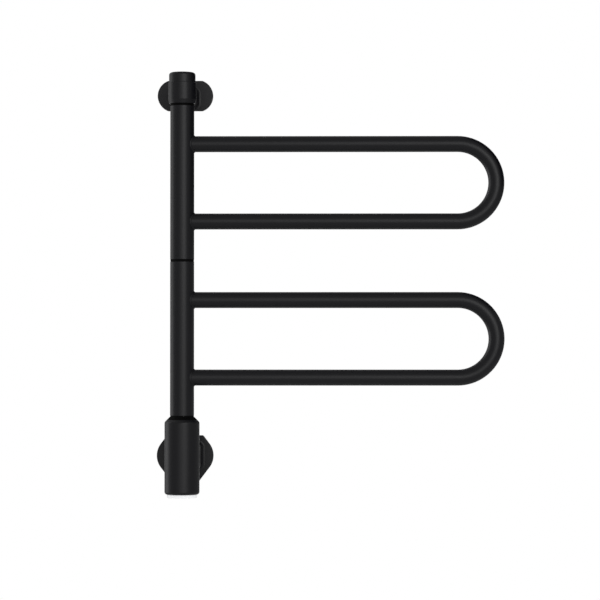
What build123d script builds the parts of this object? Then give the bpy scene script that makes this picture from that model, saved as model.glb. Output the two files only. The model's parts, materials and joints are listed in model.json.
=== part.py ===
from build123d import *
import math
import os

# Wall mounted swivel towel rail, in millimetres. +Z is up, the wall is the plane Y = 0 and the
# rail stands in -Y. The origin is the middle of the lower bracket's back face.

# Swivel axis
axis_reach = 92.0
swing = 180.0

# Post tubes and rail loops
post_diameter = 38.1
post_wall = 1.5
post_length = 243.7
rail_diameter = 25.4
rail_wall = 1.2
rail_pitch = 123.0
rail_reach = 511.5
rail_height = 60.1

# Spindle, bushes and thrust rings
spindle_diameter = 20.0
spindle_wall = 3.0
spindle_foot = 22.0
spindle_chamfer = 0.8
spindle_proud = 1.0
bush_length = 18.0
running_clearance = 0.05
end_clearance = 0.3
washer_thickness = 1.5
cone_height = 5.0
spacer_thickness = 3.5
spacer_inset = 0.3
stop_height = 3.0
stop_inner_radius = 12.6
stop_outer_radius = 15.4
stop_angle = 12.0
stop_clearance = 0.4
window_width = 9.0
window_length = 44.0
nut_height = 5.0
nut_across_flats = 27.0

# Heating elements
element_diameter = 8.0
element_start = 22.0
disc_thickness = 3.0
disc_first = 70.0
disc_margin = 34.0
disc_count = 4

# Top cap and upper bracket
collar_diameter = 44.6
collar_height = 33.7
collar_taper = 6.5
collar_taper_depth = 1.6
collar_edge = 0.6
nut_recess_diameter = 34.0
nut_recess_depth = 11.0
cap_diameter = 42.0
cap_height = 16.0
cap_edge = 4.5
cap_spigot = 4.0
flange_thickness = 8.0
flange_edge = 1.6
flange_corner = 3.0
rim_width = 4.0
neck_wall = 4.0
neck_end_wall = 5.0
neck_root = 5.0
plate_thickness = 5.0
plate_clearance = 0.4
pocket_clearance = 0.5
upper_flange_width = 90.0
upper_flange_height = 49.0
upper_tip_radius = 26.0
upper_neck_width = 40.0
upper_neck_height = 28.0
neck_corner = 6.0
upper_flange_rise = 4.15

# Wall screws and grub screws
screw_hole_diameter = 5.0
screw_head_diameter = 9.6
upper_screw_spacing = 58.0
lower_screw_spacing = 62.0
grub_diameter = 4.0
grub_setback = 0.5
base_screw_diameter = 2.0
base_screw_length = 3.0

# Control housing
housing_diameter = 55.5
housing_wall = 2.2
housing_drop = 58.0
housing_height = 118.5
housing_shoulder = 5.0
housing_roof = 8.0
housing_edge = 4.5
housing_mouth_diameter = 45.0
housing_lip = 4.0
housing_taper = 5.0
cable_passage = 16.0
housing_screw_diameter = 4.0
housing_screw_spacing = 28.0
housing_screw_length = 8.5
housing_screw_head_diameter = 7.0
housing_screw_head_height = 2.6

# Lower bracket
lower_tip_radius = 32.0
lower_tip_offset = 13.9
apex_radius = 20.0
apex_offset = 38.3
flat_top = 32.7
lower_neck_width = 54.0
lower_neck_height = 40.0

# Supply cable grommet
grommet_bore = 9.0
grommet_diameter = 18.0
grommet_lip = 1.6
grommet_lip_width = 1.8

# Light ring, base cap and button
light_ring_diameter = 48.0
light_ring_bore = 38.0
light_ring_drop = 5.0
light_ring_edge = 0.8
light_pipe_width = 2.3
light_pipe_height = 6.0
button_clearance = 0.4
button_travel = 1.0
button_face = 3.0
button_edge = 0.6
button_recess = 0.6
button_stem = 7.0
button_lip = 1.6
button_lip_width = 1.2
button_neck = 1.1

# Electronics
board_thickness = 1.6
board_diameter = 44.6
ring_board_bore = 25.0
pillar_diameter = 4.0
pillar_shoulder = 5.0
pillar_circle = 35.2
pillar_count = 3
pillar_turn = 90.0
board_screw_diameter = 5.5
board_screw_height = 2.0
light_size = 2.0
light_height = 1.0
light_gap = 0.4
light_circle = 42.0
light_count = 12
light_turn = 15.0
switch_width = 12.0
switch_height = 5.0
switch_gap = 0.5
plunger_diameter = 3.4
plunger_grip = 2.0
relay_length = 19.0
relay_width = 15.0
relay_height = 15.0
relay_setback = 8.5
capacitor_diameter = 8.0
capacitor_height = 14.0
capacitor_spacing = 30.0
capacitor_setback = 1.0
terminal_length = 26.0
terminal_depth = 10.0
terminal_height = 13.0
terminal_setback = 8.5
terminal_ways = 3
terminal_pitch = 8.0
terminal_hole = 5.0
terminal_hole_depth = 6.0
terminal_screw_height = 4.0
earth_tag_diameter = 29.0
earth_tag_thickness = 0.8
earth_tag_width = 6.3
earth_tag_length = 8.0
earth_tag_gap = 0.2

# Riser cable in the spindle
riser_diameter = 7.0
riser_grommet_length = 6.0
riser_tail = 6.0

# Radii and heights worked out from the sizes above
post_radius = post_diameter / 2
post_bore_radius = post_radius - post_wall
rail_radius = rail_diameter / 2
rail_bore_radius = rail_radius - rail_wall
bend_radius = rail_pitch / 2
bend_centre = rail_reach - bend_radius - rail_radius
spindle_radius = spindle_diameter / 2
spindle_bore_radius = spindle_radius - spindle_wall
housing_radius = housing_diameter / 2
housing_bore_radius = housing_radius - housing_wall
collar_radius = collar_diameter / 2

housing_bottom = -housing_drop
housing_top = housing_bottom + housing_height
cone_top = housing_top + cone_height
cone_radius = post_radius + cone_height
lower_post_bottom = cone_top + washer_thickness + end_clearance
lower_post_top = lower_post_bottom + post_length
middle_spacer_bottom = lower_post_top + end_clearance
upper_post_bottom = middle_spacer_bottom + spacer_thickness + end_clearance
upper_post_top = upper_post_bottom + post_length
top_spacer_bottom = upper_post_top + end_clearance
collar_bottom = top_spacer_bottom + spacer_thickness
collar_top = collar_bottom + collar_height
upper_nut_bottom = collar_top - nut_recess_depth
spindle_top = upper_nut_bottom + nut_height + spindle_proud
spindle_bottom = housing_top - spindle_foot
foot_nut_bottom = housing_top - housing_roof - earth_tag_thickness - nut_height
upper_neck_middle = collar_bottom + collar_height / 2
upper_plate_height = upper_neck_middle + upper_flange_rise

axis_plane = Plane((0, -axis_reach, 0))
pocket_depth = plate_thickness + pocket_clearance

os.makedirs("parts", exist_ok=True)


def level(height):
    """Horizontal plane at a height, centred on the swivel axis."""
    return axis_plane.offset(height)


def front(depth, height):
    """Upright plane at a depth in front of the wall, facing away from it, origin at a height."""
    return Plane(origin=(0, -depth, height), x_dir=(1, 0, 0), z_dir=(0, -1, 0))


def across(reach, height):
    """Upright plane across the rails, facing +X, its origin at a reach and a height."""
    return Plane(origin=(reach, -axis_reach, height), x_dir=(0, 1, 0), z_dir=(1, 0, 0))


def save(part, name):
    """Label a finished piece and write it."""
    part.label = name
    export_step(part, f"parts/{name}.step")


# Post tubes
def post_tube(bottom):
    """Tube with two side holes, one behind each end of its rail loop."""
    low = bottom + rail_height
    with BuildPart() as tube:
        with BuildSketch(level(bottom)):
            Circle(post_radius)
            Circle(post_bore_radius, mode=Mode.SUBTRACT)
        extrude(amount=post_length)
        with BuildSketch(across(0, 0)):
            with Locations((0, low), (0, low + rail_pitch)):
                Circle(rail_bore_radius)
        extrude(amount=post_radius + rail_radius, mode=Mode.SUBTRACT)
    return tube.part


# Rail loops
def rail_loop(bottom):
    """U-shaped tube, coped at both ends to sit on the outside of the post."""
    low = bottom + rail_height
    with BuildPart() as loop:
        with BuildLine(front(axis_reach, 0)):
            out = Line((0, low), (bend_centre, low))
            bend = TangentArc(out @ 1, (bend_centre, low + rail_pitch), tangent=out % 1)
            Line(bend @ 1, (0, low + rail_pitch))
        with BuildSketch(across(0, low)):
            Circle(rail_radius)
            Circle(rail_bore_radius, mode=Mode.SUBTRACT)
        sweep()
        with BuildSketch(level(bottom)):
            Circle(post_radius)
        extrude(amount=post_length, mode=Mode.SUBTRACT)
    return loop.part


# Heating elements
def heating_element(bottom):
    """Dry element bent like the loop, on the centre line of its tube."""
    low = bottom + rail_height
    with BuildPart() as element:
        with BuildLine(front(axis_reach, 0)):
            out = Line((element_start, low), (bend_centre, low))
            bend = TangentArc(out @ 1, (bend_centre, low + rail_pitch), tangent=out % 1)
            Line(bend @ 1, (element_start, low + rail_pitch))
        with BuildSketch(across(element_start, low)):
            Circle(element_diameter / 2)
        sweep()
    return element.part


def centring_discs(bottom):
    """Discs that hold the element on the centre line of both straight runs."""
    low = bottom + rail_height
    run = bend_centre - disc_margin - disc_thickness - disc_first
    with BuildPart() as discs:
        for step in range(disc_count):
            place = disc_first + run * step / (disc_count - 1)
            with BuildSketch(across(place, low)):
                with Locations((0, 0), (0, rail_pitch)):
                    Circle(rail_bore_radius)
                    Circle(element_diameter / 2, mode=Mode.SUBTRACT)
            extrude(amount=disc_thickness)
    return discs.part


# Bushes
def post_bushes(bottom):
    """Plain bush at each end of a post. The lower one has the groove of the stop."""
    groove_inner = stop_inner_radius - end_clearance
    groove_outer = stop_outer_radius + end_clearance
    groove_angle = swing + stop_angle + 2 * math.degrees(stop_clearance / stop_inner_radius)
    with BuildPart() as bushes:
        with BuildSketch(level(bottom), level(bottom + post_length - bush_length)):
            Circle(post_bore_radius)
            Circle(spindle_radius + running_clearance, mode=Mode.SUBTRACT)
        extrude(amount=bush_length)
        with BuildSketch(level(bottom)):
            with BuildLine():
                outer = CenterArc((0, 0), groove_outer, -groove_angle / 2, groove_angle)
                inner = CenterArc((0, 0), groove_inner, -groove_angle / 2, groove_angle)
                Line(outer @ 0, inner @ 0)
                Line(outer @ 1, inner @ 1)
            make_face()
        extrude(amount=stop_height, mode=Mode.SUBTRACT)
    return bushes.part


# Thrust rings
def thrust_ring(bottom, thickness, radius, has_stop):
    """Ring seated on the spindle. Its lug stands in the groove of the bush above it."""
    with BuildPart() as ring:
        with BuildSketch(level(bottom)):
            Circle(radius)
            Circle(spindle_radius, mode=Mode.SUBTRACT)
        extrude(amount=thickness)
        if has_stop:
            with BuildSketch(level(bottom + thickness)):
                with BuildLine():
                    first = -90 - stop_angle / 2
                    outer = CenterArc((0, 0), stop_outer_radius, first, stop_angle)
                    inner = CenterArc((0, 0), stop_inner_radius, first, stop_angle)
                    Line(outer @ 0, inner @ 0)
                    Line(outer @ 1, inner @ 1)
                make_face()
            extrude(amount=stop_height)
    return ring.part


for side, height in (("lower", lower_post_bottom), ("upper", upper_post_bottom)):
    save(post_tube(height), f"{side}_post_tube")
    save(rail_loop(height), f"{side}_rail_loop")
    save(heating_element(height), f"{side}_heating_element")
    save(centring_discs(height), f"{side}_centring_discs")
    save(post_bushes(height), f"{side}_post_bushes")

spacer_radius = post_radius - spacer_inset
save(thrust_ring(middle_spacer_bottom, spacer_thickness, spacer_radius, True), "middle_spacer")
save(thrust_ring(top_spacer_bottom, spacer_thickness, spacer_radius, False), "top_spacer")

# Thrust cone: the lowest thrust ring, widened below to meet the shoulder of the housing
with BuildPart() as thrust_cone:
    add(thrust_ring(cone_top, washer_thickness, spacer_radius, True))
    with BuildSketch(front(axis_reach, 0)):
        with BuildLine():
            Polyline(
                (spindle_radius, housing_top),
                (cone_radius, housing_top),
                (post_radius, cone_top),
                (spindle_radius, cone_top),
                close=True,
            )
        make_face()
    revolve(axis=Axis((0, -axis_reach, 0), (0, 0, 1)))
save(thrust_cone.part, "thrust_cone")

# Spindle tube, with a window for the leads beside each end of each loop
with BuildPart() as spindle_tube:
    with BuildSketch(level(spindle_bottom)):
        Circle(spindle_radius)
        Circle(spindle_bore_radius, mode=Mode.SUBTRACT)
    extrude(amount=spindle_top - spindle_bottom)
    with BuildSketch(front(axis_reach, 0)):
        for height in (lower_post_bottom, upper_post_bottom):
            with Locations((0, height + rail_height + rail_pitch / 2)):
                SlotOverall(window_length, window_width, rotation=90)
    extrude(amount=spindle_diameter, mode=Mode.SUBTRACT)
    chamfer(spindle_tube.edges().group_by(Axis.Z)[-1], length=spindle_chamfer)
save(spindle_tube.part, "spindle_tube")


# Spindle nuts
def spindle_nut(bottom):
    """Thin hexagon nut on the spindle."""
    with BuildPart() as nut:
        with BuildSketch(level(bottom)):
            RegularPolygon(nut_across_flats / 2, 6, major_radius=False)
            Circle(spindle_radius, mode=Mode.SUBTRACT)
        extrude(amount=nut_height)
    return nut.part


save(spindle_nut(upper_nut_bottom), "spindle_top_nut")
save(spindle_nut(foot_nut_bottom), "spindle_foot_nut")

# Riser cable, centred in the spindle by two grommets
riser_bottom = spindle_bottom - riser_tail
riser_top = upper_post_bottom + rail_height + rail_pitch / 2
with BuildPart() as riser_cable:
    with BuildSketch(level(riser_bottom)):
        Circle(riser_diameter / 2)
    extrude(amount=riser_top - riser_bottom)
save(riser_cable.part, "riser_cable")

with BuildPart() as riser_grommets:
    with BuildSketch(level(spindle_bottom), level(middle_spacer_bottom), level(riser_top - window_length)):
        Circle(spindle_bore_radius)
        Circle(riser_diameter / 2, mode=Mode.SUBTRACT)
    extrude(amount=riser_grommet_length)
save(riser_grommets.part, "riser_grommets")


# Bracket parts
def near_flange(edge, half_width, half_height, middle):
    """True for an edge where a neck of this size leaves the flange."""
    spot = edge.center()
    on_face = abs(spot.Y + flange_thickness) < 0.01
    return on_face and abs(spot.X) < half_width + 0.01 and abs(spot.Z - middle) < half_height + 0.01


def upper_outline(inset):
    """Two round tips cut off flat above and below, drawn in by an inset."""
    tip_offset = upper_flange_width / 2 - upper_tip_radius
    with BuildSketch() as outline:
        with Locations((-tip_offset, 0), (tip_offset, 0)):
            Circle(upper_tip_radius - inset)
        make_hull()
        Rectangle(upper_flange_width, upper_flange_height - 2 * inset, mode=Mode.INTERSECT)
        fillet(outline.vertices(), radius=flange_corner)
    return outline.sketch


def lower_outline(inset):
    """Rounded diamond with a flat top, drawn in by an inset."""
    with BuildSketch() as outline:
        with Locations((-lower_tip_offset, 0), (lower_tip_offset, 0)):
            Circle(lower_tip_radius - inset)
        with Locations((0, -apex_offset), (0, apex_offset)):
            Circle(apex_radius - inset)
        make_hull()
        with Locations((0, flat_top - inset)):
            Rectangle(2 * apex_offset, apex_offset, align=(Align.CENTER, Align.MIN), mode=Mode.SUBTRACT)
        fillet(outline.vertices().group_by(Axis.Y)[-1], radius=flange_corner)
    return outline.sketch


def neck_hollow(width, height):
    """Outline of the hollow inside a neck, for the sketch that it is called in."""
    return RectangleRounded(width - 2 * neck_wall, height - 2 * neck_wall, neck_corner - neck_wall)


def grub_screw(edge_height, name):
    """Grub screw in the lower rim of a flange, its end on the edge of the fixing plate."""
    with BuildPart() as screw:
        with BuildSketch(Plane((0, -plate_thickness / 2, edge_height + grub_setback))):
            Circle(grub_diameter / 2)
        extrude(amount=rim_width + plate_clearance - grub_setback)
    save(screw.part, name)


# Upper bracket: collar, neck and round-ended flange in one casting, hollow behind the flange
with BuildPart() as upper_bracket:
    with BuildSketch(front(0, upper_plate_height)):
        add(upper_outline(0))
    extrude(amount=flange_thickness)
    fillet(upper_bracket.faces().sort_by(Axis.Y)[0].edges(), radius=flange_edge)
    with BuildSketch(front(flange_thickness, upper_neck_middle)):
        RectangleRounded(upper_neck_width, upper_neck_height, neck_corner)
    extrude(amount=axis_reach - flange_thickness)
    roots = upper_bracket.edges().filter_by(
        lambda edge: near_flange(edge, upper_neck_width / 2, upper_neck_height / 2, upper_neck_middle)
    )
    fillet(roots, radius=neck_root)
    with BuildSketch(front(axis_reach, 0)):
        with BuildLine():
            Polyline(
                (0, collar_bottom),
                (collar_radius - collar_taper_depth, collar_bottom),
                (collar_radius, collar_bottom + collar_taper),
                (collar_radius, collar_top - collar_edge),
                (collar_radius - collar_edge, collar_top),
                (0, collar_top),
                close=True,
            )
        make_face()
    revolve(axis=Axis((0, -axis_reach, 0), (0, 0, 1)))
    with BuildSketch(level(collar_bottom)):
        Circle(spindle_radius)
    extrude(amount=collar_height, mode=Mode.SUBTRACT)
    with BuildSketch(level(upper_nut_bottom)):
        Circle(nut_recess_diameter / 2)
    extrude(amount=nut_recess_depth, mode=Mode.SUBTRACT)
    with BuildSketch(front(0, upper_plate_height)):
        add(upper_outline(rim_width))
    extrude(amount=pocket_depth, mode=Mode.SUBTRACT)
    with BuildSketch(front(0, upper_neck_middle)):
        neck_hollow(upper_neck_width, upper_neck_height)
    extrude(amount=axis_reach - collar_radius - neck_end_wall, mode=Mode.SUBTRACT)
    with BuildSketch(Plane((0, -plate_thickness / 2, upper_plate_height - upper_flange_height / 2))):
        Circle(grub_diameter / 2)
    extrude(amount=rim_width, mode=Mode.SUBTRACT)
save(upper_bracket.part, "upper_bracket")
grub_screw(upper_plate_height - upper_flange_height / 2, "upper_grub_screw")

# Top cap, its spigot in the nut recess of the collar
with BuildPart() as top_cap:
    with BuildSketch(level(collar_top)):
        Circle(cap_diameter / 2)
    extrude(amount=cap_height)
    fillet(top_cap.edges().group_by(Axis.Z)[-1], radius=cap_edge)
    with BuildSketch(level(collar_top)):
        Circle(nut_recess_diameter / 2)
    extrude(amount=-cap_spigot)
save(top_cap.part, "top_cap")

# Upper fixing plate
plate_inset = rim_width + plate_clearance
with BuildPart() as upper_fixing_plate:
    with BuildSketch(front(0, upper_plate_height)):
        add(upper_outline(plate_inset))
    extrude(amount=plate_thickness)
    with Locations(front(plate_thickness, upper_plate_height)):
        with GridLocations(upper_screw_spacing, 0, 2, 1):
            CounterSinkHole(screw_hole_diameter / 2, screw_head_diameter / 2)
save(upper_fixing_plate.part, "upper_fixing_plate")


# Lower bracket: flange and hollow neck in one casting, its end coped to the housing
lower_apex = -apex_offset - apex_radius
with BuildPart() as lower_bracket:
    with BuildSketch(front(0, 0)):
        add(lower_outline(0))
    extrude(amount=flange_thickness)
    fillet(lower_bracket.faces().sort_by(Axis.Y)[0].edges(), radius=flange_edge)
    with BuildSketch(front(flange_thickness, 0)):
        RectangleRounded(lower_neck_width, lower_neck_height, neck_corner)
    extrude(amount=axis_reach - flange_thickness)
    roots = lower_bracket.edges().filter_by(
        lambda edge: near_flange(edge, lower_neck_width / 2, lower_neck_height / 2, 0)
    )
    fillet(roots, radius=neck_root)
    with BuildSketch(level(housing_bottom)):
        Circle(housing_radius)
    extrude(amount=housing_height, mode=Mode.SUBTRACT)
    with BuildSketch(front(0, 0)):
        add(lower_outline(rim_width))
    extrude(amount=pocket_depth, mode=Mode.SUBTRACT)
    with BuildSketch(front(0, 0)):
        neck_hollow(lower_neck_width, lower_neck_height)
    extrude(amount=axis_reach - housing_radius - neck_end_wall, mode=Mode.SUBTRACT)
    with BuildSketch(front(0, 0)):
        Circle(cable_passage / 2)
        with GridLocations(0, housing_screw_spacing, 1, 2):
            Circle(housing_screw_diameter / 2)
    extrude(amount=axis_reach, mode=Mode.SUBTRACT)
    with BuildSketch(Plane((0, -plate_thickness / 2, lower_apex))):
        Circle(grub_diameter / 2)
    extrude(amount=rim_width + grub_diameter / 2, mode=Mode.SUBTRACT)
save(lower_bracket.part, "lower_bracket")
grub_screw(lower_apex, "lower_grub_screw")

# Lower fixing plate, with the entry of the supply cable in its middle
with BuildPart() as lower_fixing_plate:
    with BuildSketch(front(0, 0)):
        add(lower_outline(plate_inset))
        Circle(grommet_diameter / 2, mode=Mode.SUBTRACT)
    extrude(amount=plate_thickness)
    with Locations(front(plate_thickness, 0)):
        with GridLocations(lower_screw_spacing, 0, 2, 1):
            CounterSinkHole(screw_hole_diameter / 2, screw_head_diameter / 2)
save(lower_fixing_plate.part, "lower_fixing_plate")

with BuildPart() as cable_grommet:
    with BuildSketch(front(0, 0)):
        Circle(grommet_diameter / 2)
    extrude(amount=plate_thickness)
    with BuildSketch(front(plate_thickness, 0)):
        Circle(grommet_diameter / 2 + grommet_lip_width)
    extrude(amount=grommet_lip)
    with BuildSketch(front(0, 0)):
        Circle(grommet_bore / 2)
    extrude(amount=plate_thickness + grommet_lip, mode=Mode.SUBTRACT)
save(cable_grommet.part, "cable_grommet")

# Control housing: turned case with a round shoulder and an inward lip at its mouth
mouth_radius = housing_mouth_diameter / 2
shoulder_height = housing_top - housing_radius + cone_radius
with BuildPart() as control_housing:
    with BuildSketch(front(axis_reach, 0)):
        with BuildLine():
            Polyline(
                (spindle_radius, housing_top),
                (cone_radius, housing_top),
                (housing_radius, shoulder_height),
                (housing_radius, housing_bottom),
                (mouth_radius, housing_bottom),
                (mouth_radius, housing_bottom + housing_lip),
                (housing_bore_radius, housing_bottom + housing_lip),
                (housing_bore_radius, housing_top - housing_roof - housing_taper),
                (post_radius - housing_wall, housing_top - housing_roof),
                (spindle_radius, housing_top - housing_roof),
                close=True,
            )
        make_face()
    revolve(axis=Axis((0, -axis_reach, 0), (0, 0, 1)))
    fillet(control_housing.edges().group_by(Axis.Z)[0].sort_by(SortBy.RADIUS)[-1], radius=housing_edge)
    shoulder = control_housing.edges().filter_by(GeomType.CIRCLE).filter_by(
        lambda edge: abs(edge.center().Z - shoulder_height) < 0.01
    )
    fillet(shoulder, radius=housing_shoulder)
    with BuildSketch(front(0, 0)):
        Circle(cable_passage / 2)
        with GridLocations(0, housing_screw_spacing, 1, 2):
            Circle(housing_screw_diameter / 2)
    extrude(amount=axis_reach, mode=Mode.SUBTRACT)
    with BuildSketch(front(0, housing_bottom + housing_lip / 2)):
        Circle(base_screw_diameter / 2)
    extrude(amount=axis_reach, mode=Mode.SUBTRACT)
save(control_housing.part, "control_housing")

# Screws from inside the housing into the end of the lower neck
screw_seat = math.sqrt(housing_bore_radius**2 - (housing_screw_head_diameter / 2) ** 2)
with BuildPart() as housing_screws:
    with BuildSketch(front(axis_reach - screw_seat, 0)):
        with GridLocations(0, housing_screw_spacing, 1, 2):
            Circle(housing_screw_head_diameter / 2)
    extrude(amount=housing_screw_head_height)
    with BuildSketch(front(axis_reach - screw_seat, 0)):
        with GridLocations(0, housing_screw_spacing, 1, 2):
            Circle(housing_screw_diameter / 2)
    extrude(amount=-housing_screw_length)
save(housing_screws.part, "housing_screws")

# Earth tag, clamped by the foot nut against the roof of the housing
with BuildPart() as earth_tag:
    with BuildSketch(level(housing_top - housing_roof - earth_tag_thickness)):
        Circle(earth_tag_diameter / 2)
        Circle(spindle_radius, mode=Mode.SUBTRACT)
    extrude(amount=earth_tag_thickness)
    tab_reach = nut_across_flats / 2 + earth_tag_gap + earth_tag_thickness
    with BuildSketch(front(axis_reach - tab_reach, housing_top - housing_roof)):
        with Locations((0, -earth_tag_length / 2)):
            Rectangle(earth_tag_width, earth_tag_length)
    extrude(amount=earth_tag_thickness)
save(earth_tag.part, "earth_tag")

# Light ring: opal flange under the housing, with a light pipe that stands in the mouth
light_ring_bottom = housing_bottom - light_ring_drop
light_pipe_inner = mouth_radius - light_pipe_width
with BuildPart() as light_ring:
    with BuildSketch(level(light_ring_bottom)):
        Circle(light_ring_diameter / 2)
    extrude(amount=light_ring_drop)
    fillet(light_ring.edges().group_by(Axis.Z)[0], radius=light_ring_edge)
    with BuildSketch(level(housing_bottom)):
        Circle(mouth_radius)
        Circle(light_pipe_inner, mode=Mode.SUBTRACT)
    extrude(amount=light_pipe_height)
    with BuildSketch(level(light_ring_bottom)):
        Circle(light_ring_bore / 2)
    extrude(amount=light_ring_drop, mode=Mode.SUBTRACT)
save(light_ring.part, "light_ring")

# Base cap inside the light pipe, with the guide hole of the button
with BuildPart() as base_cap:
    with BuildSketch(level(housing_bottom)):
        Circle(light_pipe_inner)
        Circle(button_stem / 2 + button_clearance, mode=Mode.SUBTRACT)
    extrude(amount=light_pipe_height)
save(base_cap.part, "base_cap")

with BuildPart() as base_grub_screw:
    with BuildSketch(front(axis_reach - mouth_radius, housing_bottom + housing_lip / 2)):
        Circle(base_screw_diameter / 2)
    extrude(amount=-base_screw_length)
save(base_grub_screw.part, "base_grub_screw")

# Power button: face in the light ring, stem through the base cap, snap lip above it
button_bottom = light_ring_bottom + button_recess
stem_bottom = button_bottom + button_face
base_cap_top = housing_bottom + light_pipe_height
lip_bottom = base_cap_top + end_clearance
stem_top = lip_bottom + button_lip + button_neck
with BuildPart() as power_button:
    with BuildSketch(level(button_bottom)):
        Circle(light_ring_bore / 2 - button_clearance)
    extrude(amount=button_face)
    fillet(power_button.edges().group_by(Axis.Z)[0], radius=button_edge)
    with BuildSketch(level(stem_bottom)):
        Circle(button_stem / 2)
    extrude(amount=stem_top - stem_bottom)
    with BuildSketch(level(lip_bottom)):
        Circle(button_stem / 2 + button_lip_width)
    extrude(amount=button_lip)
save(power_button.part, "power_button")

# Tactile switch under the control board, and the plunger that the button pushes
switch_bottom = stem_top + button_travel + switch_gap
plunger_reach = switch_bottom - stem_top + plunger_grip
with BuildPart() as switch_plunger:
    with BuildSketch(level(stem_top)):
        Circle(plunger_diameter / 2)
    extrude(amount=plunger_reach)
save(switch_plunger.part, "switch_plunger")

with BuildPart() as tact_switch:
    with BuildSketch(level(switch_bottom)):
        Rectangle(switch_width, switch_width)
    extrude(amount=switch_height)
    with BuildSketch(level(switch_bottom)):
        Circle(plunger_diameter / 2 + end_clearance)
    extrude(amount=plunger_grip + button_travel + end_clearance, mode=Mode.SUBTRACT)
save(tact_switch.part, "tact_switch")

# Boards on three pillars
ring_board_bottom = base_cap_top + light_gap + light_height
control_board_bottom = switch_bottom + switch_height
control_board_top = control_board_bottom + board_thickness
with BuildPart() as board_pillars:
    with BuildSketch(level(base_cap_top)):
        with PolarLocations(pillar_circle / 2, pillar_count, start_angle=pillar_turn):
            Circle(pillar_shoulder / 2)
    extrude(amount=ring_board_bottom - base_cap_top)
    with BuildSketch(level(ring_board_bottom)):
        with PolarLocations(pillar_circle / 2, pillar_count, start_angle=pillar_turn):
            Circle(pillar_diameter / 2)
    extrude(amount=control_board_bottom - ring_board_bottom)
save(board_pillars.part, "board_pillars")

with BuildPart() as ring_board:
    with BuildSketch(level(ring_board_bottom)):
        Circle(board_diameter / 2)
        Circle(ring_board_bore / 2, mode=Mode.SUBTRACT)
        with PolarLocations(pillar_circle / 2, pillar_count, start_angle=pillar_turn):
            Circle(pillar_diameter / 2, mode=Mode.SUBTRACT)
    extrude(amount=board_thickness)
save(ring_board.part, "ring_board")

with BuildPart() as indicator_lights:
    with BuildSketch(level(ring_board_bottom)):
        with PolarLocations(light_circle / 2, light_count, start_angle=light_turn):
            Rectangle(light_size, light_size)
    extrude(amount=-light_height)
save(indicator_lights.part, "indicator_lights")

with BuildPart() as control_board:
    with BuildSketch(level(control_board_bottom)):
        Circle(board_diameter / 2)
    extrude(amount=board_thickness)
save(control_board.part, "control_board")

with BuildPart() as board_screws:
    with BuildSketch(level(control_board_top)):
        with PolarLocations(pillar_circle / 2, pillar_count, start_angle=pillar_turn):
            Circle(board_screw_diameter / 2)
    extrude(amount=board_screw_height)
save(board_screws.part, "board_screws")

with BuildPart() as relay:
    with BuildSketch(level(control_board_top)):
        with Locations((0, -relay_setback)):
            Rectangle(relay_length, relay_width)
    extrude(amount=relay_height)
save(relay.part, "relay")

with BuildPart() as capacitors:
    with BuildSketch(level(control_board_top)):
        with Locations((0, -capacitor_setback)):
            with GridLocations(capacitor_spacing, 0, 2, 1):
                Circle(capacitor_diameter / 2)
    extrude(amount=capacitor_height)
save(capacitors.part, "capacitors")

# Terminal block on the control board, and its screws
terminal_plane = level(control_board_top + terminal_height)
with BuildPart() as terminal_block:
    with BuildSketch(level(control_board_top)):
        with Locations((0, terminal_setback)):
            Rectangle(terminal_length, terminal_depth)
    extrude(amount=terminal_height)
    with BuildSketch(terminal_plane):
        with Locations((0, terminal_setback)):
            with GridLocations(terminal_pitch, 0, terminal_ways, 1):
                Circle(terminal_hole / 2)
    extrude(amount=-terminal_hole_depth, mode=Mode.SUBTRACT)
save(terminal_block.part, "terminal_block")

with BuildPart() as terminal_screws:
    with BuildSketch(terminal_plane.offset(-terminal_hole_depth)):
        with Locations((0, terminal_setback)):
            with GridLocations(terminal_pitch, 0, terminal_ways, 1):
                Circle(terminal_hole / 2)
    extrude(amount=terminal_screw_height)
save(terminal_screws.part, "terminal_screws")
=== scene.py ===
import json
import math

import bmesh
import bpy
from mathutils import Matrix, Vector


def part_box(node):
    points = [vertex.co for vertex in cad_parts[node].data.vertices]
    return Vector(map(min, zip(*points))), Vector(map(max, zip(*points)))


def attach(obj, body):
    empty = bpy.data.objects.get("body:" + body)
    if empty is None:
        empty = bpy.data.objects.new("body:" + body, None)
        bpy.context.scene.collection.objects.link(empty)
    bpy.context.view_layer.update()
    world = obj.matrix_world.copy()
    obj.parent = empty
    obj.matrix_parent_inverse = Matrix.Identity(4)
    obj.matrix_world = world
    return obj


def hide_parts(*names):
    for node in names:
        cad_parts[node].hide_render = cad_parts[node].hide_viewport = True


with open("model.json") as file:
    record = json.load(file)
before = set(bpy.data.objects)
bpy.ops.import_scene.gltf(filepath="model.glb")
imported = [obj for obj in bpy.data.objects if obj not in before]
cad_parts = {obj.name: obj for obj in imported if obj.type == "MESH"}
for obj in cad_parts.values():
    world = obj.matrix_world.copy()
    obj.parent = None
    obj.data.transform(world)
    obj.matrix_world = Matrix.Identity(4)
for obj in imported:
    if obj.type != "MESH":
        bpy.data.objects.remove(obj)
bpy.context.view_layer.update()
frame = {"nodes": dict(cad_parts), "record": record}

bl_info = {
    "name": "Swivel towel rail",
    "version": (1, 0, 0),
    "blender": (4, 5, 0),
    "location": "View3D > Sidebar > Towel rail",
    "description": "Dresses a wall mounted swivel towel rail and sets up its studio",
    "category": "Object",
}

MM = 0.001
RAIL_SIDES = ("lower", "upper")
SHARP_ANGLE = math.radians(35)
SENSOR_WIDTH = 36.0
FLOOR_SIDES = 96
FLOOR_SHIFT = 0.2
BEAD_SIDES = 16
BEAD_STEPS = 360
SOCKET_SIDES = 6
SCREW_SIDES = 48
# A chamfer takes this much of a small screw's radius at most
CHAMFER_LIMIT = 0.2
TIP_SHARE = 0.8
# Where a thread's root ends, its crest starts and ends, and the next root starts, in one turn
THREAD_TURN = (0.3, 0.55, 0.65, 0.9)
# A noise texture stays between these values nearly everywhere
NOISE_SPAN = (0.3, 0.7)
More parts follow.
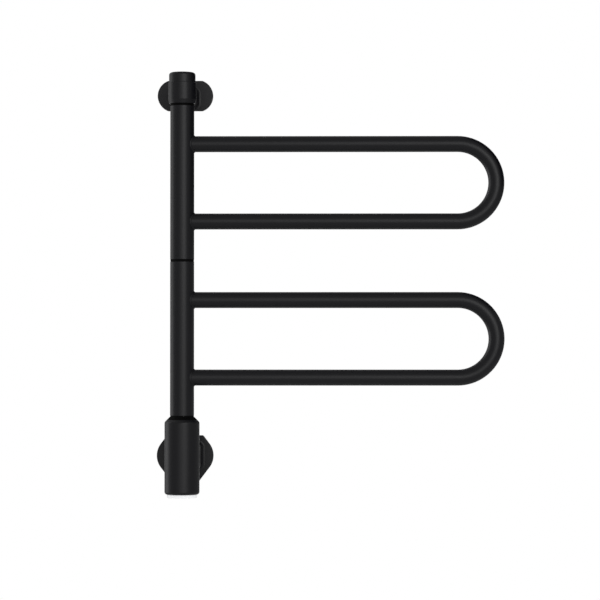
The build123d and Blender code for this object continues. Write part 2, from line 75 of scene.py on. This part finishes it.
# Node, the way its socket faces, and in millimetres its socket's depth, its head's height, the
# radius of its thread and the thread's pitch. A headless screw has a head of no height.
SCREWS = (
    ("lower_grub_screw", (0, 0, -1), 2.0, 0.0, 2.0, 0.7),
    ("upper_grub_screw", (0, 0, -1), 2.0, 0.0, 2.0, 0.7),
    ("base_grub_screw", (0, 1, 0), 1.2, 0.0, 1.0, 0.4),
    ("housing_screws", (0, -1, 0), 1.6, 2.6, 2.0, 1.4),
    ("board_screws", (0, 0, 1), 1.2, 2.0, 0.0, 0.0),
)
finishes = {}


def linear(code):
    """Turn an sRGB hex colour into the linear colour that the shaders use."""
    channels = [int(code[i:i + 2], 16) / 255 for i in (1, 3, 5)]
    curve = [c / 12.92 if c <= 0.04045 else ((c + 0.055) / 1.055) ** 2.4 for c in channels]
    return (*curve, 1.0)


def socket_of(sockets, key):
    """Socket of a node by its number, its name or its identifier."""
    if isinstance(key, int) or key in sockets:
        return sockets[key]
    return next(socket for socket in sockets if socket.identifier == key)


def node(tree, kind, settings=None, links=None):
    """Add a shader node with its settings and its links.

    A link comes from a socket, or from the first output of a node.
    """
    made = tree.nodes.new(kind)
    for key, value in (settings or {}).items():
        if key == "stops":
            ramp = made.color_ramp
            ramp.interpolation = "EASE"
            for _ in value[2:]:
                ramp.elements.new(0.5)
            for stop, (place, level) in zip(ramp.elements, value):
                stop.position = place
                stop.color = (level, level, level, 1)
        elif isinstance(key, str) and key in made.bl_rna.properties:
            setattr(made, key, value)
        else:
            socket_of(made.inputs, key).default_value = value
    for key, source in (links or {}).items():
        if isinstance(source, bpy.types.Node):
            source = source.outputs[0]
        tree.links.new(source, socket_of(made.inputs, key))
    return made


def new_tree(owner):
    """Empty node tree of a material or a world."""
    owner.use_nodes = True
    owner.node_tree.nodes.clear()
    return owner.node_tree


def finish(name, tones, rough, grit, cloud, depth, settings, stretch=(1, 1, 1), peel=None):
    """A finish with a slow change of tone over a fine texture that has its own roughness and bump.

    Two sRGB tones and two roughnesses are blended. Grit and cloud are the sizes of the fine and
    the slow texture, and depth is that of the fine one, all in millimetres. Stretch draws both out
    along an axis, and peel is the size and depth of a second, softer bump.
    """
    made = bpy.data.materials.new(name)
    tree = new_tree(made)
    coords = node(tree, "ShaderNodeTexCoord")
    drawn = node(
        tree, "ShaderNodeMapping", {"Scale": stretch}, {"Vector": coords.outputs["Object"]},
    )
    fine = node(
        tree, "ShaderNodeTexNoise", {"Scale": 1 / (grit * MM), "Detail": 1.0}, {"Vector": drawn},
    )
    slow = node(
        tree, "ShaderNodeTexNoise", {"Scale": 1 / (cloud * MM), "Detail": 2.0}, {"Vector": drawn},
    )
    color = node(
        tree, "ShaderNodeMix",
        {"data_type": "RGBA", "A_Color": linear(tones[0]), "B_Color": linear(tones[1])},
        {"Factor_Float": slow},
    )
    dull = node(
        tree, "ShaderNodeMapRange",
        {
            "From Min": NOISE_SPAN[0], "From Max": NOISE_SPAN[1],
            "To Min": rough[0], "To Max": rough[1],
        },
        {"Value": fine},
    )
    bump = node(tree, "ShaderNodeBump", {"Distance": depth * MM, "Strength": 1.0}, {"Height": fine})
    if peel:
        soft = node(
            tree, "ShaderNodeTexNoise", {"Scale": 1 / (peel[0] * MM), "Detail": 2.0},
            {"Vector": drawn},
        )
        under = node(
            tree, "ShaderNodeBump", {"Distance": peel[1] * MM, "Strength": 1.0}, {"Height": soft},
        )
        tree.links.new(under.outputs[0], bump.inputs["Normal"])
    shader = node(
        tree, "ShaderNodeBsdfPrincipled", settings,
        {"Base Color": socket_of(color.outputs, "Result_Color"), "Roughness": dull, "Normal": bump},
    )
    node(tree, "ShaderNodeOutputMaterial", links={"Surface": shader})
    return made


def build_finishes():
    """One material for each slot of the record."""
    metal = {"Metallic": 1.0}
    return {
        # Satin jet black: soft broad highlights over a faint orange peel
        "black_coat": finish(
            "satin_black_polyester_powder_coat", ("#09090e", "#0b0b11"), (0.35, 0.42),
            0.28, 45, 0.003, {"IOR": 1.5}, peel=(1.6, 0.010),
        ),
        # A separate moulding, a shade duller than the coated case round it
        "black_button": finish(
            "fine_textured_black_abs", ("#121214", "#17171a"), (0.42, 0.52), 0.12, 12, 0.006,
            {"IOR": 1.53},
        ),
        # Black nylon with a rough face, made nearly black and nearly without specular: painted
        # shade that darkens the joints between the satin tubes
        "black_nylon": finish(
            "black_nylon_with_painted_joint_shade", ("#030303", "#040404"), (0.6, 0.75), 0.12, 12, 0.006,
            {"IOR": 1.53, "Specular IOR Level": 0.1},
        ),
        # Moulded case parts: even and slightly open in the gloss
        "black_plastic": finish(
            "black_polycarbonate", ("#101012", "#161618"), (0.4, 0.5), 0.12, 12, 0.006,
            {"IOR": 1.58},
        ),
        # Milky white, with a faint painted glow in its emission that brightens it
        "opal": finish(
            "opal_acrylic", ("#eff1f3", "#f4f5f7"), (0.26, 0.34), 0.5, 6, 0.001,
            {
                "IOR": 1.49, "Subsurface Weight": 0.35, "Subsurface Scale": 2 * MM,
                "Subsurface Radius": (1.0, 1.0, 1.0), "Emission Color": (1.0, 1.0, 1.0, 1.0),
                "Emission Strength": 0.2,
            },
        ),
        # Pale blue-grey metal with a soft shine
        "zinc_plate": finish(
            "zinc_plated_steel", ("#b4b9be", "#c9ccd0"), (0.25, 0.36), 0.3, 8, 0.004, metal,
        ),
        # Drawn tube, so its marks run up and down
        "stainless": finish(
            "drawn_stainless_steel", ("#a9abad", "#bcbec0"), (0.22, 0.34), 0.3, 0.6, 0.004, metal,
            stretch=(1, 1, 0.04),
        ),
        # Warm yellow metal with the dull edges of a stamping
        "brass": finish(
            "stamped_brass", ("#b08d45", "#c7a558"), (0.24, 0.36), 0.3, 5, 0.004, metal,
        ),
        # Soft and dull, with hardly any highlight
        "rubber": finish(
            "black_epdm_rubber", ("#0f0f0f", "#161616"), (0.7, 0.82), 0.4, 12, 0.006, {"IOR": 1.52},
        ),
        # Silky dark grey
        "cable_jacket": finish(
            "dark_grey_silicone_cable", ("#1d1e20", "#26272a"), (0.5, 0.62), 0.5, 12, 0.006,
            {"IOR": 1.41},
        ),
        # Deep green lacquer with the glass cloth just showing
        "circuit_board": finish(
            "green_solder_mask", ("#0d3a22", "#12492b"), (0.22, 0.34), 0.6, 3, 0.006,
            {"IOR": 1.5},
        ),
        # Glossy, tight round the can
        "capacitor_sleeve": finish(
            "navy_shrink_sleeve", ("#161c3a", "#1d2550"), (0.24, 0.34), 0.5, 12, 0.006,
            {"IOR": 1.54},
        ),
        # Warm off-white, like most terminal blocks
        "terminal_plastic": finish(
            "pale_polyamide", ("#cfcdc4", "#dcdad2"), (0.42, 0.52), 0.12, 12, 0.006, {"IOR": 1.53},
        ),
        # Dry and chalky
        "insulation": finish(
            "steatite_ceramic", ("#cfc8b8", "#ddd7c9"), (0.66, 0.8), 0.5, 4, 0.006,
            {"IOR": 1.6},
        ),
        # Slick and pale, with turning marks round the axis too fine to see
        "bush_acetal": finish(
            "machined_acetal", ("#dcdcd6", "#e8e8e2"), (0.3, 0.4), 0.3, 12, 0.003,
            {"IOR": 1.48},
        ),
    }


def coat(obj, slot_name):
    """Give a piece the finish of one of the record's material slots."""
    obj.data.materials.clear()
    obj.data.materials.append(finishes[slot_name])


def add_piece(mesh, name, body, slot_name, replaced=()):
    """Turn a bmesh into a piece of the object, smooth but for its sharp edges."""
    bmesh.ops.recalc_face_normals(mesh, faces=mesh.faces)
    for face in mesh.faces:
        face.smooth = True
    data = bpy.data.meshes.new(name)
    mesh.to_mesh(data)
    mesh.free()
    data.set_sharp_from_angle(angle=SHARP_ANGLE)
    made = bpy.data.objects.new(name, data)
    bpy.context.scene.collection.objects.link(made)
    coat(made, slot_name)
    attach(made, body)
    if replaced:
        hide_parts(*replaced)
    return made


def solid_boxes(node_name):
    """Lowest and highest corners of each separate solid of a CAD node."""
    mesh = bmesh.new()
    mesh.from_mesh(frame["nodes"][node_name].data)
    bmesh.ops.remove_doubles(mesh, verts=mesh.verts, dist=0.001 * MM)
    left = set(mesh.verts)
    boxes = []
    while left:
        found = {left.pop()}
        edge = list(found)
        while edge:
            near = {e.other_vert(v) for v in edge for e in v.link_edges} - found
            found |= near
            edge = list(near)
        left -= found
        lows = [min(v.co[i] for v in found) for i in range(3)]
        highs = [max(v.co[i] for v in found) for i in range(3)]
        boxes.append((Vector(lows), Vector(highs)))
    mesh.free()
    return sorted(boxes, key=lambda box: tuple(box[0]))


def edges_at(verts):
    """Edges at a group of vertices, each of them once and always in the same order."""
    return list(dict.fromkeys(edge for vert in verts for edge in vert.link_edges))


def turned_rings(mesh, rings, place):
    """Bridge a row of rings, each of them sides, radius and height, and close both ends."""
    loops = []
    for sides, radius, height in rings:
        ring = bmesh.ops.create_circle(mesh, segments=sides, radius=radius)["verts"]
        bmesh.ops.translate(mesh, verts=ring, vec=(0, 0, height))
        loops.append(ring)
    edges = [edges_at(ring) for ring in loops]
    for first, second in zip(edges, edges[1:]):
        bmesh.ops.bridge_loops(mesh, edges=first + second)
    bmesh.ops.contextual_create(mesh, geom=edges[0])
    bmesh.ops.contextual_create(mesh, geom=edges[-1])
    bmesh.ops.transform(mesh, matrix=place, verts=[v for ring in loops for v in ring])


def facing(point, way):
    """Place of a screw whose face is at a point and looks along a direction."""
    return Matrix.Translation(point) @ Vector(way).to_track_quat("Z", "Y").to_matrix().to_4x4()


def weld_bead(mesh, tube_radius, post_radius, place, bead, ripple, ripples):
    """Round bead on the saddle where a rail meets the post, with the ripples of its weld pool."""
    ring = bmesh.ops.create_circle(mesh, segments=BEAD_SIDES, radius=bead)["verts"]
    bmesh.ops.rotate(mesh, verts=ring, matrix=Matrix.Rotation(math.pi / 2, 3, "X"))
    bmesh.ops.translate(mesh, verts=ring, vec=(0, 0, tube_radius))
    before = set(mesh.verts) - set(ring)
    bmesh.ops.spin(
        mesh, geom=ring + edges_at(ring), cent=(0, 0, 0), axis=(1, 0, 0), angle=2 * math.pi,
        steps=BEAD_STEPS, use_merge=True, use_duplicate=False,
    )
    swept = [v for v in mesh.verts if v not in before]
    for v in swept:
        turn = math.atan2(v.co.z, v.co.y)
        middle = Vector((0, tube_radius * math.cos(turn), tube_radius * math.sin(turn)))
        v.co = middle + (v.co - middle) * (1 + ripple * math.cos(ripples * turn))
        v.co.x += math.sqrt(post_radius ** 2 - v.co.y ** 2)
    bmesh.ops.translate(mesh, verts=swept, vec=place)


def sort_faces(mesh):
    """Put the faces in one order, because a spin leaves them in another one on every run."""
    mesh.verts.index_update()
    count = len(mesh.verts)

    def place(face):
        corners = [vert.index for vert in face.verts]
        return min(corners) * count + max(corners)

    mesh.faces.sort(key=place)


class RailSizes(bpy.types.PropertyGroup):
    """Sizes of the details that are added to the rail."""

    weld_bead: bpy.props.FloatProperty(
        name="Weld bead", description="Radius of the bead where a rail meets a post",
        default=1.2 * MM, unit="LENGTH",
    )
    weld_ripple: bpy.props.FloatProperty(
        name="Weld ripple", description="Height of a ripple, as a part of the bead's radius",
        default=0.05, subtype="FACTOR",
    )
    weld_ripples: bpy.props.IntProperty(
        name="Weld ripples", description="Number of ripples round one weld", default=48,
    )
    socket_share: bpy.props.FloatProperty(
        name="Socket width", description="Hexagon socket across its corners, against the screw",
        default=0.56, subtype="FACTOR",
    )
    thread_share: bpy.props.FloatProperty(
        name="Thread depth", description="Depth of a screw's thread, against its pitch",
        default=0.45, subtype="FACTOR",
    )
    screw_chamfer: bpy.props.FloatProperty(
        name="Screw chamfer", description="Chamfer round the face of a screw",
        default=0.3 * MM, unit="LENGTH",
    )


class StudioSettings(bpy.types.PropertyGroup):
    """Camera, lamps and floor."""

    camera_place: bpy.props.FloatVectorProperty(
        name="Camera place", description="Where the camera stands",
        default=(0.2337, -4.0563, 0.1792), subtype="XYZ", unit="LENGTH",
    )
    camera_pitch: bpy.props.FloatProperty(
        name="Camera pitch", description="How far the camera looks up",
        default=math.radians(1.030), subtype="ANGLE",
    )
    camera_yaw: bpy.props.FloatProperty(
        name="Camera yaw", description="How far the camera turns to the left",
        default=math.radians(0.672), subtype="ANGLE",
    )
    camera_lens: bpy.props.FloatProperty(
        name="Lens", description="Focal length on a 36 mm wide sensor",
        default=149.908, unit="CAMERA",
    )
    floor_drop: bpy.props.FloatProperty(
        name="Floor drop", description="Height of the floor below the origin",
        default=0.5, unit="LENGTH",
    )
    floor_radius: bpy.props.FloatProperty(
        name="Floor radius", description="Radius of the round floor", default=1.7, unit="LENGTH",
    )
    floor_lift: bpy.props.FloatProperty(
        name="Floor lift", description="Glow that brings the seen floor up to the background",
        default=0.25,
    )
    key_power: bpy.props.FloatProperty(
        name="Key power", description="Power of the soft key lamp", default=27.0, unit="POWER",
    )
    key_place: bpy.props.FloatVectorProperty(
        name="Key place", description="Middle of the soft key lamp",
        default=(1.95, -4.33, 1.2), subtype="XYZ", unit="LENGTH",
    )
    key_size: bpy.props.FloatVectorProperty(
        name="Key size", description="Width and height of the soft key lamp",
        default=(2.5, 2.6), size=2, unit="LENGTH",
    )
    key_target: bpy.props.FloatVectorProperty(
        name="Key target", description="Spot that the soft key lamp points at",
        default=(0.15, -0.09, 0.3), subtype="XYZ", unit="LENGTH",
    )
    card_place: bpy.props.FloatVectorProperty(
        name="Card place", description="Middle of the black card on the right",
        default=(0.76, 0.7, 1.12), subtype="XYZ", unit="LENGTH",
    )
    card_size: bpy.props.FloatVectorProperty(
        name="Card size", description="Height and width of the black card",
        default=(1.4, 1.8), size=2, unit="LENGTH",
    )
    room_level: bpy.props.FloatProperty(
        name="Room level", description="Strength of the even light from the room", default=0.75,
    )
    paper: bpy.props.FloatVectorProperty(
        name="Floor colour", description="Colour of the floor",
        default=linear("#f4f4f4"), size=4, subtype="COLOR",
    )
    paper_in_gloss: bpy.props.FloatVectorProperty(
        name="Floor in gloss", description="Colour of the floor as the coat reflects it",
        default=linear("#a8a8a8"), size=4, subtype="COLOR",
    )


class RAIL_OT_finishes(bpy.types.Operator):
    """Make the materials and give every carried-over piece its own."""

    bl_idname = "rail.finishes"
    bl_label = "Finishes"

    def execute(self, context):
        finishes.update(build_finishes())
        slots = {s["node"]: s["material_slot"] for s in frame["record"]["subparts"]}
        for name, obj in frame["nodes"].items():
            coat(obj, slots[name])
        return {"FINISHED"}


class RAIL_OT_welds(bpy.types.Operator):
    """Lay the beads that join the four rail ends to their posts."""

    bl_idname = "rail.welds"
    bl_label = "Welds"

    def execute(self, context):
        sizes = context.scene.rail_sizes
        for side in RAIL_SIDES:
            post_low, post_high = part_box(f"{side}_post_tube")
            loop_low, loop_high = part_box(f"{side}_rail_loop")
            post_radius = (post_high[0] - post_low[0]) / 2
            tube_radius = (loop_high[1] - loop_low[1]) / 2
            depth = (loop_high[1] + loop_low[1]) / 2
            mesh = bmesh.new()
            for height in (loop_low[2] + tube_radius, loop_high[2] - tube_radius):
                weld_bead(
                    mesh, tube_radius, post_radius, (0, depth, height),
                    sizes.weld_bead, sizes.weld_ripple, sizes.weld_ripples,
                )
            sort_faces(mesh)
            add_piece(mesh, f"{side}_weld_beads", f"{side}_swivel", "black_coat")
        return {"FINISHED"}


class RAIL_OT_screws(bpy.types.Operator):
    """Turn the plain screws into screws with chamfers, hexagon sockets and threads."""

    bl_idname = "rail.screws"
    bl_label = "Screws"

    def execute(self, context):
        sizes = context.scene.rail_sizes
        slots = {s["node"]: s["material_slot"] for s in frame["record"]["subparts"]}
        for name, way, *lengths in SCREWS:
            way = Vector(way)
            axis = max(range(3), key=lambda i: abs(way[i]))
            across = (axis + 1) % 3
            mesh = bmesh.new()
            for low, high in solid_boxes(name):
                length = high[axis] - low[axis]
                radius = (high[across] - low[across]) / 2
                rings = self.rings(sizes, radius, length, *(value * MM for value in lengths))
                turned_rings(mesh, rings, facing((low + high) / 2 + way * length / 2, way))
            add_piece(mesh, f"{name}_detailed", "wall_unit", slots[name], (name,))
        return {"FINISHED"}

    def rings(self, sizes, radius, length, socket_depth, head, thread_radius, pitch):
        """Rings of one screw, from the bottom of its socket over its face down to its tip."""
        hexagon = radius * sizes.socket_share
        cut = min(sizes.screw_chamfer, radius * CHAMFER_LIMIT)
        rings = [
            (SOCKET_SIDES, hexagon, -socket_depth), (SOCKET_SIDES, hexagon, 0),
            (SCREW_SIDES, radius - cut, 0), (SCREW_SIDES, radius, -cut),
        ]
        if not pitch:
            return [*rings, (SCREW_SIDES, radius, -length)]
        core = thread_radius - sizes.thread_share * pitch
        if head:
            rings += [(SCREW_SIDES, radius, -head), (SCREW_SIDES, core, -head)]
        start = max(head, cut)
        for i in range(int((length - start) / pitch)):
            top = -start - i * pitch
            for share, reach in zip(THREAD_TURN, (core, thread_radius, thread_radius, core)):
                rings.append((SCREW_SIDES, reach, top - share * pitch))
        return [*rings, (SCREW_SIDES, core * TIP_SHARE, -length)]


class RAIL_OT_stage(bpy.types.Operator):
    """Set up the floor, the soft lamps, the background and the camera."""

    bl_idname = "rail.stage"
    bl_label = "Studio"

    def execute(self, context):
        studio = context.scene.rail_studio
        self.floor(studio)
        self.flag(studio)
        self.background(studio)
        self.key(studio)
        self.camera(studio)
        context.scene.view_settings.view_transform = "Standard"
        return {"FINISHED"}

    def staged(self, mesh, name, paper):
        """Put a mesh in the studio, apart from the object."""
        data = bpy.data.meshes.new(name)
        mesh.to_mesh(data)
        mesh.free()
        made = bpy.data.objects.new(name, data)
        bpy.context.scene.collection.objects.link(made)
        made.data.materials.append(paper)
        return made

    def seen(self, tree, rays):
        """1 for rays that should meet the plain background, 0 for the rest."""
        return node(
            tree, "ShaderNodeMath", {"operation": "MAXIMUM"},
            {0: rays.outputs["Is Camera Ray"], 1: rays.outputs["Is Transmission Ray"]},
        )

    def floor(self, studio):
        """Round pale floor that keeps the object's shadow, and is clear from below."""
        mesh = bmesh.new()
        bmesh.ops.create_circle(
            mesh, cap_ends=True, segments=FLOOR_SIDES, radius=studio.floor_radius,
        )
        bmesh.ops.translate(mesh, verts=mesh.verts, vec=(FLOOR_SHIFT, 0, -studio.floor_drop))
        paper = bpy.data.materials.new("pale_studio_floor")
        tree = new_tree(paper)
        rays = node(tree, "ShaderNodeLightPath")
        color = node(
            tree, "ShaderNodeMix",
            {"data_type": "RGBA", "A_Color": studio.paper, "B_Color": studio.paper_in_gloss},
            {"Factor_Float": rays.outputs["Is Glossy Ray"]},
        )
        lift = node(
            tree, "ShaderNodeMath", {"operation": "MULTIPLY", 1: studio.floor_lift},
            {0: self.seen(tree, rays)},
        )
        matte = node(
            tree, "ShaderNodeBsdfDiffuse",
            links={"Color": socket_of(color.outputs, "Result_Color")},
        )
        glow = node(tree, "ShaderNodeEmission", {"Color": (1, 1, 1, 1)}, {"Strength": lift})
        top = node(tree, "ShaderNodeAddShader", links={0: matte, 1: glow})
        side = node(tree, "ShaderNodeNewGeometry")
        clear = node(tree, "ShaderNodeBsdfTransparent")
        both = node(
            tree, "ShaderNodeMixShader", links={0: side.outputs["Backfacing"], 1: top, 2: clear},
        )
        node(tree, "ShaderNodeOutputMaterial", links={"Surface": both})
        self.staged(mesh, "floor", paper)

    def flag(self, studio):
        """Black card behind the right end, which darkens the right edges of the upper rail."""
        mesh = bmesh.new()
        bmesh.ops.create_grid(mesh, x_segments=1, y_segments=1, size=0.5)
        bmesh.ops.scale(mesh, verts=mesh.verts, vec=(*studio.card_size, 1))
        bmesh.ops.rotate(mesh, verts=mesh.verts, matrix=Matrix.Rotation(math.pi / 2, 3, "Y"))
        bmesh.ops.translate(mesh, verts=mesh.verts, vec=studio.card_place)
        card = bpy.data.materials.new("black_studio_card")
        tree = new_tree(card)
        black = node(tree, "ShaderNodeBsdfDiffuse", {"Color": linear("#050505")})
        node(tree, "ShaderNodeOutputMaterial", links={"Surface": black})
        made = self.staged(mesh, "flag", card)
        made.visible_camera = False
        made.visible_diffuse = False

    def background(self, studio):
        """White behind the object, even light from the room, and the room seen in the coat."""
        world = bpy.data.worlds.new("studio")
        bpy.context.scene.world = world
        tree = new_tree(world)
        rays = node(tree, "ShaderNodeLightPath")
        gloss = rays.outputs["Is Glossy Ray"]
        way = node(tree, "ShaderNodeTexCoord")
        x, y, z = node(tree, "ShaderNodeSeparateXYZ", links={0: way.outputs["Generated"]}).outputs
        # Turn to the right from the camera's side, where 0.5 is the camera's side itself
        forward = node(tree, "ShaderNodeMath", {"operation": "MULTIPLY", 1: -1.0}, {0: y})
        around = node(tree, "ShaderNodeMath", {"operation": "ARCTAN2"}, {0: x, 1: forward})
        halved = {"operation": "MULTIPLY_ADD", 1: 0.5, 2: 0.5}
        turn = node(tree, "ShaderNodeMath", {**halved, 1: 0.5 / math.pi}, {0: around})
        rise = node(tree, "ShaderNodeMath", halved, {0: z})
        depth = node(tree, "ShaderNodeMath", halved, {0: y})
        walls = node(tree, "ShaderNodeValToRGB", {"stops": (
            (0.0, 0.3), (0.3, 0.27), (0.5, 0.24), (0.67, 0.23), (0.83, 0.2), (1.0, 0.2),
        )}, {0: turn})
        # Tall window on the left, a little behind the rail
        window_turn = node(tree, "ShaderNodeValToRGB", {"stops": (
            (0.135, 0), (0.155, 1), (0.228, 1), (0.25, 0),
        )}, {0: turn})
        window_rise = node(tree, "ShaderNodeValToRGB", {"stops": (
            (0.15, 0), (0.275, 0.8), (0.725, 0.8), (0.85, 0),
        )}, {0: rise})
        window = node(
            tree, "ShaderNodeMath", {"operation": "MULTIPLY"}, {0: window_turn, 1: window_rise},
        )
        # Broad soft box beside the key, a little above the camera
        box_turn = node(tree, "ShaderNodeValToRGB", {"stops": (
            (0.43, 0), (0.488, 1), (0.53, 1), (0.6, 0),
        )}, {0: turn})
        box_rise = node(tree, "ShaderNodeValToRGB", {"stops": (
            (0.32, 0), (0.46, 0.5), (0.59, 0.5), (0.74, 0),
        )}, {0: rise})
        box = node(tree, "ShaderNodeMath", {"operation": "MULTIPLY"}, {0: box_turn, 1: box_rise})
        lamps = node(tree, "ShaderNodeMath", {"operation": "ADD"}, {0: window, 1: box})
        room = node(tree, "ShaderNodeMath", {"operation": "ADD"}, {0: walls, 1: lamps})
        level = node(
            tree, "ShaderNodeMix", {"data_type": "FLOAT", "A_Float": studio.room_level},
            {"Factor_Float": gloss, "B_Float": room},
        )
        back = node(tree, "ShaderNodeValToRGB", {"stops": ((0.98, 0), (0.995, 1))}, {0: depth})
        behind = node(tree, "ShaderNodeMath", {"operation": "MULTIPLY"}, {0: gloss, 1: back})
        plain = node(
            tree, "ShaderNodeMath", {"operation": "MAXIMUM"}, {0: self.seen(tree, rays), 1: behind},
        )
        white = node(tree, "ShaderNodeBackground", {"Color": (1, 1, 1, 1), "Strength": 1.0})
        soft = node(tree, "ShaderNodeBackground", {"Color": (1, 1, 1, 1)}, {"Strength": level})
        mix = node(tree, "ShaderNodeMixShader", links={0: plain, 1: soft, 2: white})
        node(tree, "ShaderNodeOutputWorld", links={"Surface": mix})

    def key(self, studio):
        """Soft key lamp, to the right of the camera and above it."""
        data = bpy.data.lights.new("key", "AREA")
        data.shape = "RECTANGLE"
        data.size, data.size_y = studio.key_size
        data.energy = studio.key_power
        made = bpy.data.objects.new("key", data)
        made.location = studio.key_place
        way = Vector(studio.key_target) - made.location
        made.rotation_euler = way.to_track_quat("-Z", "Y").to_euler()
        bpy.context.scene.collection.objects.link(made)

    def camera(self, studio):
        """Camera at the photograph's angle."""
        data = bpy.data.cameras.new("camera")
        data.lens = studio.camera_lens
        data.sensor_width = SENSOR_WIDTH
        data.sensor_fit = "HORIZONTAL"
        made = bpy.data.objects.new("camera", data)
        made.location = studio.camera_place
        made.rotation_euler = (math.pi / 2 + studio.camera_pitch, 0, studio.camera_yaw)
        bpy.context.scene.collection.objects.link(made)
        bpy.context.scene.camera = made


class RAIL_PT_panel(bpy.types.Panel):
    """Lists the steps that dress the rail."""

    bl_idname = "RAIL_PT_panel"
    bl_label = "Towel rail"
    bl_space_type = "VIEW_3D"
    bl_region_type = "UI"
    bl_category = "Towel rail"

    def draw(self, context):
        for step in STEPS:
            self.layout.operator(step.bl_idname)
        for group in (context.scene.rail_sizes, context.scene.rail_studio):
            for name in group.__annotations__:
                self.layout.prop(group, name)


STEPS = (RAIL_OT_finishes, RAIL_OT_welds, RAIL_OT_screws, RAIL_OT_stage)
CLASSES = (RailSizes, StudioSettings, *STEPS, RAIL_PT_panel)


def register():
    """Register the classes and hang the settings on the scene."""
    for kind in CLASSES:
        bpy.utils.register_class(kind)
    bpy.types.Scene.rail_sizes = bpy.props.PointerProperty(type=RailSizes)
    bpy.types.Scene.rail_studio = bpy.props.PointerProperty(type=StudioSettings)


def unregister():
    """Undo register."""
    del bpy.types.Scene.rail_studio
    del bpy.types.Scene.rail_sizes
    for kind in reversed(CLASSES):
        bpy.utils.unregister_class(kind)


def main():
    """Register and run every step in order."""
    register()
    bpy.ops.rail.finishes()
    bpy.ops.rail.welds()
    bpy.ops.rail.screws()
    bpy.ops.rail.stage()


if __name__ == "__main__":
    main()
